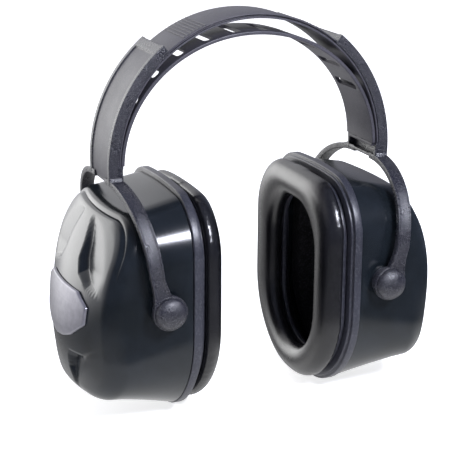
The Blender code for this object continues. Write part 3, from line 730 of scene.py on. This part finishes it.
def beside(line, y, z):
    """The distance of a face point from a line of (|y|, z) points in millimetres, above 0 on the
    line's outer side."""
    point = Vector((abs(y), z))
    nearest, sign = 1.0, 1.0
    for (y0, z0), (y1, z1) in zip(line, line[1:]):
        start, end = Vector((y0, z0)) * MM, Vector((y1, z1)) * MM
        along = end - start
        share = min(max((point - start).dot(along) / along.length_squared, 0.0), 1.0)
        away = point - (start + along * share)
        if away.length < nearest:
            nearest = away.length
            sign = 1.0 if along.x * away.y - along.y * away.x > 0 else -1.0
    return nearest * sign


def soft_least(a, b, ease):
    """The smaller of two values, with the corner between them eased."""
    share = max(ease - abs(a - b), 0.0) / ease
    return min(a, b) - share * share * ease / 4


def hollow(line, level, y, z):
    """How deep a hollow is whose floor lies `level` under the face's middle line."""
    inside = beside(line, y, z)
    if inside <= 0.0:
        return 0.0
    depth = level - face_fall(y, z)
    depth = 0.5 * (depth + math.hypot(depth, HOLLOW_FLOOR_EASE)) * smooth(level / MM)
    return max(soft_least(depth, HOLLOW_SLOPE * inside, HOLLOW_WALL_EASE), 0.0)


def face_sink(y, z):
    upper = RIDGE_SINK * min(max((RIDGE_SINK_START_Z - z)
                                 / (RIDGE_SINK_START_Z - RIDGE_SINK_FULL_Z), 0.0), 1.0) ** 0.6
    lower = KEEL_SINK * min(max((z - KEEL_SINK_START_Z)
                                / (KEEL_SINK_FULL_Z - KEEL_SINK_START_Z), 0.0), 1.0)
    if z > HOLLOW_SPLIT_Z:
        return hollow(RIDGE_LINE, upper, y, z)
    return hollow(KEEL_LINE, lower, y, z)


def shell_rings(depth, sculpted):
    """Rings of the shell's surface from its rim to the middle of its face, `depth` under it."""
    fine = {"corner_steps": 40, "side_steps": 30}
    shoulder = wall_outline(depth, SHOULDER_X, **fine)
    edges = [face_x(y, z) - EDGE_R for y, z in shoulder]
    rings = []
    wall_steps = 12
    for step in range(wall_steps + 1):
        ring = []
        for i, edge in enumerate(edges):
            x = SHELL_X + (edge - SHELL_X) * step / wall_steps
            ring.append(Vector((x, *outline_point(i, x, depth, fine))))
        rings.append(ring)
    bend_r = EDGE_R - depth
    bend_steps = 18
    for step in range(1, bend_steps + 1):
        degrees = 90 * step / bend_steps
        turn = math.radians(degrees)
        ring = []
        for i, edge in enumerate(edges):
            y, z = outline_point(i, edge, depth + bend_r * (1 - math.cos(turn)), fine)
            x = face_x(y, z) - depth - bend_r * (1 - math.sin(turn))
            if sculpted:
                x -= face_sink(y, z) * math.sin(turn) ** 2
                groove = SEAM_DEPTH * seam_strength(z)
                groove *= math.exp(-((degrees - SEAM_TURN) / SEAM_SPREAD) ** 2)
                x -= groove * math.sin(turn)
                z -= groove * math.cos(turn)
            ring.append(Vector((x, y, z)))
        rings.append(ring)
    rim = [(p.y, p.z) for p in rings[-1]]
    face_steps = 80 if sculpted else 6
    for step in range(1, face_steps + 1):
        scale = 1.0 - (1.0 - FACE_MIDDLE) * step / face_steps
        ring = []
        for y, z in rim:
            y, z = y * scale, RIM_CENTRE_Z + (z - RIM_CENTRE_Z) * scale
            x = face_x(y, z) - depth
            if sculpted:
                x -= face_sink(y, z)
            ring.append(Vector((x, y, z)))
        rings.append(ring)
    return rings


WALL_CACHE = {}


def outline_point(index, x, inset, fine):
    """Point `index` of the shell's fine outline at x, moved in."""
    key = (round(x, 7), round(inset, 7))
    if key not in WALL_CACHE:
        WALL_CACHE[key] = wall_outline(inset, x, **fine)
    return WALL_CACHE[key][index]


def seam_strength(z):
    """The seam is cut across the top of the face and fades out down its sides."""
    return blend_between(z, SEAM_END_Z, SEAM_FULL_Z)


def shell_mesh():
    inside = shell_rings(WALL + SINK_ROOM, False)
    solids = [loft(list(reversed(inside)) + shell_rings(0.0, True))]
    for side in (1, -1):
        solids += [side_pad(start, end, side) for start, end in PADS]
    return together(solids)


def side_pad(start, end, side):
    """A flat pad moulded on a side wall, level with the pivot, between two places along X."""
    corner_r = min(PAD_CORNER_R, (end - start) / 2)
    rings = []
    for height in (-PAD_ROOT, PAD_HEIGHT):
        corners = []
        for x, z in ((start, PAD_HALF), (end, PAD_HALF), (end, -PAD_HALF), (start, -PAD_HALF)):
            y = SHELL_HALF_Y - SIDE_TAPER * (x - SHELL_X) + height
            corners.append(Vector((x, side * y, PIVOT.z + z)))
        rings.append(rounded(corners, corner_r))
    return loft(rings)


def foam_mesh():
    """A dish of foam that follows the shell's inside, lightly dimpled where it is seen."""
    outer, inner = [], []
    length = FOAM_HIGH.x - FOAM_LOW.x
    steps = 8
    for step in range(steps + 1):
        share = step / steps
        inset = FOAM_WALL_INSET + FOAM_NARROWING * share ** 2
        x = FOAM_LOW.x + length * share
        outer.append([Vector((x, y, z)) for y, z in wall_outline(inset, x)])
        x = FOAM_LOW.x + (length - FOAM_THICKNESS) * share
        inner.append([Vector((x, y, z)) for y, z in wall_outline(inset + FOAM_THICKNESS, x)])
    for scale in FOAM_SCALES:
        ring = []
        for p in inner[steps]:
            y, z = p.y * scale, RIM_CENTRE_Z + (p.z - RIM_CENTRE_Z) * scale
            wave = math.sin(2 * math.pi * y / FOAM_BUMP_PITCH)
            wave *= math.sin(2 * math.pi * z / FOAM_BUMP_PITCH)
            ring.append(Vector((p.x + FOAM_BUMP * wave, y, z)))
        inner.append(ring)
    return loft(list(reversed(inner)) + outer)


def badge_outline():
    right = list(BADGE_HALF)
    corners = right + [(0.0, BADGE_FOOT_Z)] + [(-y, z) for y, z in reversed(right)]
    points = rounded([Vector((0.0, y, z)) * MM for y, z in corners], BADGE_EASE, 4)
    dense = []
    for here, after in zip(points, points[1:] + points[:1]):
        count = max(1, math.ceil((after - here).length / BADGE_SPACING))
        dense += [here.lerp(after, i / count) for i in range(count)]
    return dense


def badge_mesh():
    """A cut-cornered plate that follows the face. Its lower end folds back along a line."""
    edge = badge_outline()
    top = BADGE_GAP + BADGE_THICKNESS
    inside = BADGE_EDGE[-1][0]
    levels = [(0.04, BADGE_GAP), (1.0, BADGE_GAP)]
    levels += [(scale, top - depth) for scale, depth in BADGE_EDGE]
    levels += [(inside * (1 - i / BADGE_RINGS), top) for i in range(1, BADGE_RINGS)]
    levels += [(0.01, top)]
    rings = []
    for scale, height in levels:
        ring = []
        for p in edge:
            y, z = p.y * scale, BADGE_CENTRE_Z + (p.z - BADGE_CENTRE_Z) * scale
            x = face_x(y, z) + height
            if height > BADGE_GAP:
                x -= BADGE_FOLD_DROP * max(fold_z(y) - z, 0.0)
            ring.append(Vector((x, y, z)))
        rings.append(ring)
    return loft(rings)


def fold_z(y):
    """The fold across the badge's foot, a shallow arch."""
    return BADGE_FOLD_Z + BADGE_FOLD_ARCH * y ** 2


# -------- cushion


def cushion_rings(shrink):
    tracks = []
    centre = sum(inset for inset, _ in CUSHION) / len(CUSHION) * MM
    for inset, x in CUSHION:
        inset, x = inset * MM, x * MM
        if x < CUSHION_HIGH.x - 0.5 * MM:
            inset += shrink if inset < centre else -shrink
            x += shrink if x < CUSHION_FRONT_X else 0.0
        tracks.append([Vector((x, y, z)) for y, z in rim_outline(inset)])
    return [rounded(list(section), CUSHION_EASE) for section in zip(*tracks)]


def evaluated(obj):
    graph = bpy.context.evaluated_depsgraph_get()
    return bpy.data.meshes.new_from_object(obj.evaluated_get(graph))


def temporary(mesh):
    obj = bpy.data.objects.new("temporary", mesh)
    bpy.context.scene.collection.objects.link(obj)
    return obj


def remeshed(mesh):
    obj = temporary(mesh)
    remesh = obj.modifiers.new("remesh", "REMESH")
    remesh.mode = "VOXEL"
    remesh.voxel_size = CUSHION_VOXEL
    ease = obj.modifiers.new("ease", "SMOOTH")
    ease.iterations = 2
    result = evaluated(obj)
    bpy.data.objects.remove(obj)
    return result


def inflated(mesh):
    """The ring blown up like a cushion. Its back stays on the snap ring, and no point moves
    further than CUSHION_CAP."""
    obj = temporary(mesh)
    held = obj.vertex_groups.new(name="held")
    back = CUSHION_HIGH.x - CUSHION_HELD
    held.add([v.index for v in mesh.vertices if v.co.x > back], 1.0, "REPLACE")
    cloth = obj.modifiers.new("cloth", "CLOTH")
    settings = cloth.settings
    settings.quality = 6
    settings.mass = 0.2
    settings.vertex_group_mass = "held"
    settings.use_pressure = True
    settings.uniform_pressure_force = 4.0
    settings.effector_weights.gravity = 0.0
    settings.tension_stiffness = 8.0
    settings.compression_stiffness = 8.0
    settings.bending_stiffness = 0.3
    cloth.point_cache.frame_start = 1
    cloth.point_cache.frame_end = CLOTH_FRAMES
    scene = bpy.context.scene
    for number in range(1, CLOTH_FRAMES + 1):
        scene.frame_set(number)
        bpy.context.view_layer.update()
    result = evaluated(obj)
    for vertex, start in zip(result.vertices, mesh.vertices):
        move = vertex.co - start.co
        if move.length > CUSHION_CAP:
            vertex.co = start.co + move * (CUSHION_CAP / move.length)
    scene.frame_set(1)
    bpy.data.objects.remove(obj)
    return result


def finer(mesh):
    obj = temporary(mesh)
    obj.modifiers.new("finer", "SUBSURF").levels = 1
    result = evaluated(obj)
    bpy.data.objects.remove(obj)
    return result


def cushion_mesh():
    mesh = inflated(remeshed(loft(cushion_rings(CUSHION_SHRINK), closed=True)))
    for vertex in mesh.vertices:
        vertex.co.x = min(max(vertex.co.x, CUSHION_LOW.x - CUSHION_CROWN), CUSHION_HIGH.x)
    return finer(mesh)


# -------- finishes


def new_material(name):
    made = bpy.data.materials.new(name)
    made.use_nodes = True
    return made, made.node_tree, made.node_tree.nodes["Principled BSDF"]


def add_node(tree, kind, **values):
    node = tree.nodes.new(kind)
    for key, value in values.items():
        if key in node.inputs:
            node.inputs[key].default_value = value
        else:
            setattr(node, key, value)
    return node


def mottled(tree, place, scale, dark, light):
    """Colour that drifts between two tones."""
    drift = add_node(tree, "ShaderNodeTexNoise", Scale=scale, Detail=6.0, Roughness=0.6)
    tree.links.new(place.outputs["Object"], drift.inputs["Vector"])
    ramp = add_node(tree, "ShaderNodeValToRGB")
    low, high = ramp.color_ramp.elements
    low.position, low.color = 0.35, (*dark, 1.0)
    high.position, high.color = 0.68, (*light, 1.0)
    tree.links.new(drift.outputs["Fac"], ramp.inputs["Fac"])
    return ramp.outputs["Color"]


def ranged(tree, source, low, high):
    node = add_node(tree, "ShaderNodeMapRange")
    node.inputs["To Min"].default_value = low
    node.inputs["To Max"].default_value = high
    tree.links.new(source, node.inputs["Value"])
    return node.outputs["Result"]


def bumped(tree, height, distance, strength, under=None):
    bump = add_node(tree, "ShaderNodeBump", Strength=strength, Distance=distance)
    tree.links.new(height, bump.inputs["Height"])
    if under is not None:
        tree.links.new(under, bump.inputs["Normal"])
    return bump.outputs["Normal"]


def plastic(name, dark, light, rough, grain=None, wave=None, painted_glint=0.0, coat=0.0, shine=0.5):
    """Moulded plastic. rough is its least and most roughness; grain is (scale, depth, strength)
    of a moulded texture; wave is the same for the slow ripple of a polished face; painted_glint
    is how much lighter the tops of the grain are painted, a painted glint in the base colour;
    shine is the strength of its reflections."""
    made, tree, shader = new_material(name)
    place = add_node(tree, "ShaderNodeTexCoord")
    colour = mottled(tree, place, MOTTLE_SCALE, dark, light)
    smudge = add_node(tree, "ShaderNodeTexNoise", Scale=SMUDGE_SCALE, Detail=5.0, Roughness=0.65)
    tree.links.new(place.outputs["Object"], smudge.inputs["Vector"])
    tree.links.new(ranged(tree, smudge.outputs["Fac"], *rough), shader.inputs["Roughness"])
    normal = None
    if wave:
        slow = add_node(tree, "ShaderNodeTexNoise", Scale=wave[0], Detail=2.0)
        tree.links.new(place.outputs["Object"], slow.inputs["Vector"])
        normal = bumped(tree, slow.outputs["Fac"], wave[1], wave[2])
    if grain:
        fine = add_node(tree, "ShaderNodeTexNoise", Scale=grain[0], Detail=3.0, Roughness=0.7)
        tree.links.new(place.outputs["Object"], fine.inputs["Vector"])
        normal = bumped(tree, fine.outputs["Fac"], grain[1], grain[2], normal)
        # Painted glints: the tops of the fine grain are painted lighter in the base colour,
        # standing in for light caught by the grain.
        glint_tops = add_node(tree, "ShaderNodeMapRange")
        glint_tops.inputs["From Min"].default_value = GLINT_PAINT_FROM
        glint_tops.inputs["From Max"].default_value = GLINT_PAINT_TO
        tree.links.new(fine.outputs["Fac"], glint_tops.inputs["Value"])
        painted_glints = add_node(tree, "ShaderNodeMix", data_type="RGBA")
        painted_glints.inputs[7].default_value = (*[tone + painted_glint for tone in light], 1.0)
        tree.links.new(glint_tops.outputs["Result"], painted_glints.inputs["Factor"])
        tree.links.new(colour, painted_glints.inputs[6])
        colour = painted_glints.outputs[2]
    tree.links.new(colour, shader.inputs["Base Color"])
    if normal is not None:
        tree.links.new(normal, shader.inputs["Normal"])
    shader.inputs["Specular IOR Level"].default_value = shine
    shader.inputs["Coat Weight"].default_value = coat
    shader.inputs["Coat Roughness"].default_value = COAT_ROUGHNESS
    return made


def foam_material(name, dark, light):
    made, tree, shader = new_material(name)
    place = add_node(tree, "ShaderNodeTexCoord")
    pores = add_node(tree, "ShaderNodeTexVoronoi", Scale=PORE_SCALE)
    tree.links.new(place.outputs["Object"], pores.inputs["Vector"])
    ramp = add_node(tree, "ShaderNodeValToRGB")
    low, high = ramp.color_ramp.elements
    low.color = (*light, 1.0)
    high.position, high.color = 0.6, (*dark, 1.0)
    tree.links.new(pores.outputs["Distance"], ramp.inputs["Fac"])
    tree.links.new(ramp.outputs["Color"], shader.inputs["Base Color"])
    tree.links.new(bumped(tree, pores.outputs["Distance"], 0.6 * MM, 0.8),
                   shader.inputs["Normal"])
    shader.inputs["Roughness"].default_value = 0.95
    return made


def badge_material():
    made, tree, shader = new_material("badge_plate_finish")
    place = add_node(tree, "ShaderNodeTexCoord")
    stretch = add_node(tree, "ShaderNodeMapping")
    stretch.inputs["Scale"].default_value = (60.0, 60.0, 2600.0)
    tree.links.new(place.outputs["Object"], stretch.inputs["Vector"])
    brush = add_node(tree, "ShaderNodeTexNoise", Scale=1.0, Detail=4.0)
    tree.links.new(stretch.outputs["Vector"], brush.inputs["Vector"])
    tree.links.new(mottled(tree, place, 260.0, (0.20, 0.196, 0.222), (0.25, 0.246, 0.275)),
                   shader.inputs["Base Color"])
    tree.links.new(ranged(tree, brush.outputs["Fac"], 0.24, 0.42), shader.inputs["Roughness"])
    tree.links.new(bumped(tree, brush.outputs["Fac"], 0.02 * MM, 0.5), shader.inputs["Normal"])
    shader.inputs["Metallic"].default_value = 0.55
    return made


def make_finishes():
    return {
        # Each finish with a grain also gets painted glints: its grain tops are painted lighter in
        # the base colour.
        "smooth_plastic": plastic("smooth_plastic_finish", (0.034, 0.033, 0.042),
                                  (0.050, 0.048, 0.060), (0.36, 0.50),
                                  grain=(1500.0, 0.03 * MM, 0.4), painted_glint=0.02, shine=0.4),
        "grained_plastic": plastic("grained_plastic_finish", (0.006, 0.006, 0.011),
                                   (0.012, 0.012, 0.020), (0.22, 0.34),
                                   grain=(1800.0, 0.26 * MM, 0.9), painted_glint=0.06, shine=0.8),
        "cup_plastic": plastic("cup_plastic_finish", (0.005, 0.007, 0.009),
                               (0.009, 0.012, 0.016), (0.16, 0.24),
                               wave=(70.0, 0.10 * MM, 0.2), coat=0.1),
        "rim_plastic": plastic("rim_plastic_finish", (0.018, 0.019, 0.027),
                               (0.028, 0.029, 0.040), (0.26, 0.40),
                               grain=(1100.0, 0.15 * MM, 0.6), painted_glint=0.03),
        "cushion_skin": plastic("cushion_skin_finish", (0.002, 0.002, 0.003),
                                (0.005, 0.005, 0.007), (0.20, 0.30),
                                grain=(1500.0, 0.10 * MM, 0.8), painted_glint=0.008, shine=0.8),
        "badge_plate": badge_material(),
        "lining_foam": foam_material("lining_foam_finish", (0.004, 0.004, 0.005),
                                     (0.022, 0.022, 0.026)),
    }


# -------- pieces


def assign_panel(mesh):
    """Gives the yoke's sunk panel its second, smooth finish."""
    for face in mesh.polygons:
        if in_panel(face.center):
            face.material_index = 1


def place_piece(name, mesh, finishes, body, nodes, sharp=38.0):
    """A piece that stands for CAD nodes and rides on their body."""
    mesh.name = name
    mesh.materials.clear()
    for finish in finishes:
        mesh.materials.append(finish)
    if len(finishes) > 1:
        assign_panel(mesh)
    mesh.transform(Matrix.Translation(ARC_CENTRE))
    mesh.shade_smooth()
    mesh.set_sharp_from_angle(angle=math.radians(sharp))
    obj = bpy.data.objects.new(name, mesh)
    bpy.context.scene.collection.objects.link(obj)
    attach(obj, body)
    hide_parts(*nodes)


def place_pair(part, mesh, slot, body, also=(), extra=(), sharp=38.0):
    """The +X piece and its mirror image."""
    mirrored = mesh.copy()
    mirrored.transform(Matrix.Diagonal((-1.0, 1.0, 1.0, 1.0)))
    mirrored.flip_normals()
    for side, shape in (("right", mesh), ("left", mirrored)):
        on_body = "headband" if body == "headband" else side + "_" + body
        finishes = [FINISHES[slot], *extra]
        nodes = [side + "_" + node for node in (part, *also)]
        place_piece(side + "_" + part + "_look", shape, finishes, on_body, nodes, sharp)


def build_object():
    smooth_black = FINISHES["smooth_plastic"]
    place_piece("headband_strap_look", strap_mesh(), [smooth_black], "headband",
                ["headband_strap"])
    place_piece("comfort_strap_look", comfort_mesh(), [smooth_black], "headband",
                ["comfort_strap"])
    place_pair("strap_end_key", key_mesh(), "smooth_plastic", "headband")
    place_pair("yoke", yoke_mesh(), "grained_plastic", "yoke", extra=[smooth_black])
    for name, side in (("front", -1), ("rear", 1)):
        place_pair(name + "_pivot_stud", stud_mesh(side), "grained_plastic", "yoke")
        place_pair(name + "_pivot_socket", socket_mesh(side), "rim_plastic", "cup")
    place_pair("cup_shell", shell_mesh(), "cup_plastic", "cup", sharp=50.0)
    place_pair("badge_plate", badge_mesh(), "badge_plate", "cup", sharp=30.0)
    place_pair("cup_foam_lining", foam_mesh(), "lining_foam", "cup")
    place_pair("rim_plate", round_rim(RIM_PLATE, 0.5 * MM), "rim_plastic", "cup")
    place_pair("cushion_snap_ring", round_rim(SNAP_RING, 0.35 * MM), "rim_plastic", "cup")
    place_pair("cushion_skin", cushion_mesh(), "cushion_skin", "cup", also=["cushion_foam"],
               sharp=70.0)


# -------- studio


def add_camera():
    """The camera's angle, distance and lens, looking at a point in the frame."""
    azimuth, elevation, roll = math.radians(-22.6), math.radians(16.83), math.radians(0.37)
    distance = 0.690
    target = Vector((-0.0086, 0.0, -0.0960))
    back = Vector((math.sin(azimuth) * math.cos(elevation),
                   -math.cos(azimuth) * math.cos(elevation), math.sin(elevation)))
    data = bpy.data.cameras.new("camera")
    data.sensor_width = 36.0
    data.lens = 111.5
    data.clip_start = 0.01
    camera = bpy.data.objects.new("camera", data)
    bpy.context.scene.collection.objects.link(camera)
    turn = (-back).to_track_quat("-Z", "Y").to_matrix().to_4x4()
    camera.matrix_world = (Matrix.Translation(target + back * distance) @ turn
                           @ Matrix.Rotation(roll, 4, "Z"))
    bpy.context.scene.camera = camera


def softbox(name, at, aim, width, height, power):
    data = bpy.data.lights.new(name, "AREA")
    data.shape = "ELLIPSE"
    data.color = LAMP_TINT
    data.size = width
    data.size_y = height
    data.energy = power
    lamp = bpy.data.objects.new(name, data)
    bpy.context.scene.collection.objects.link(lamp)
    lamp.location = at
    lamp.rotation_euler = (Vector(aim) - Vector(at)).to_track_quat("-Z", "Y").to_euler()
    lamp.visible_camera = False
    return lamp


def add_world():
    """A room with a very bright backdrop behind the object, dark on the camera's side."""
    world = bpy.data.worlds.new("studio")
    bpy.context.scene.world = world
    world.use_nodes = True
    tree = world.node_tree
    background = tree.nodes["Background"]
    place = add_node(tree, "ShaderNodeTexCoord")
    dot = add_node(tree, "ShaderNodeVectorMath", operation="DOT_PRODUCT")
    dot.inputs[1].default_value = Vector(BACKDROP_WAY).normalized()
    tree.links.new(place.outputs["Generated"], dot.inputs[0])
    ramp = add_node(tree, "ShaderNodeValToRGB")
    level = add_node(tree, "ShaderNodeMapRange")
    level.inputs["From Min"].default_value = -1.0
    tree.links.new(dot.outputs["Value"], level.inputs["Value"])
    tree.links.new(level.outputs["Result"], ramp.inputs["Fac"])
    stops = ramp.color_ramp.elements
    while len(stops) < len(ROOM_STOPS):
        stops.new(0.5)
    for stop, (cosine, colour) in zip(stops, ROOM_STOPS):
        stop.position = (cosine + 1.0) / 2
        stop.color = (*colour, 1.0)
    parts = add_node(tree, "ShaderNodeSeparateXYZ")
    tree.links.new(place.outputs["Generated"], parts.inputs["Vector"])
    horizon = add_node(tree, "ShaderNodeMapRange", interpolation_type="SMOOTHSTEP")
    horizon.inputs["From Min"].default_value = HORIZON_FROM
    horizon.inputs["From Max"].default_value = HORIZON_TO
    horizon.inputs["To Min"].default_value = BACKDROP_LEVEL * HORIZON_LEVEL
    horizon.inputs["To Max"].default_value = BACKDROP_LEVEL
    tree.links.new(parts.outputs["Z"], horizon.inputs["Value"])
    scaled = add_node(tree, "ShaderNodeVectorMath", operation="SCALE")
    tree.links.new(horizon.outputs["Result"], scaled.inputs["Scale"])
    tree.links.new(ramp.outputs["Color"], scaled.inputs["Vector"])
    table = add_node(tree, "ShaderNodeMapRange", interpolation_type="SMOOTHSTEP")
    table.inputs["From Min"].default_value = TABLE_FROM
    table.inputs["From Max"].default_value = TABLE_TO
    table.inputs["To Max"].default_value = TABLE_LEVEL
    tree.links.new(parts.outputs["Z"], table.inputs["Value"])
    bright = add_node(tree, "ShaderNodeVectorMath", operation="ADD")
    tree.links.new(scaled.outputs["Vector"], bright.inputs[0])
    tree.links.new(table.outputs["Result"], bright.inputs[1])
    seen = add_node(tree, "ShaderNodeLightPath")
    mixed = add_node(tree, "ShaderNodeMix", data_type="VECTOR")
    tree.links.new(seen.outputs["Is Camera Ray"], mixed.inputs["Factor"])
    tree.links.new(bright.outputs["Vector"], mixed.inputs[4])
    mixed.inputs[5].default_value = (1.0, 1.0, 1.0)
    tree.links.new(mixed.outputs[1], background.inputs["Color"])


def add_floor():
    size = 6.0
    mesh = bpy.data.meshes.new("floor")
    low = CAD_BOX[0].z - FLOOR_GAP
    mesh.from_pydata([(-size, -size, low), (size, -size, low), (size, size, low),
                      (-size, size, low)], [], [(0, 1, 2, 3)])
    floor = bpy.data.objects.new("floor", mesh)
    bpy.context.scene.collection.objects.link(floor)
    made, _, shader = new_material("floor_finish")
    shader.inputs["Base Color"].default_value = (0.9, 0.9, 0.9, 1.0)
    shader.inputs["Roughness"].default_value = 0.9
    shader.inputs["Emission Color"].default_value = (1.0, 1.0, 1.0, 1.0)
    shader.inputs["Emission Strength"].default_value = 0.75
    mesh.materials.append(made)
    floor.visible_glossy = False


def build_studio():
    add_camera()
    add_world()
    add_floor()
    middle = (CAD_BOX[0] + CAD_BOX[1]) / 2
    softbox("top_light", (0.0, 0.1, 0.8), middle, 0.5, 0.5, 4.0).visible_glossy = False
    softbox("key_light", (0.17, -0.66, 0.44), middle, 0.24, 0.20, 10.0)
    bpy.context.scene.view_settings.view_transform = "Standard"


FINISHES = make_finishes()
build_object()
build_studio()
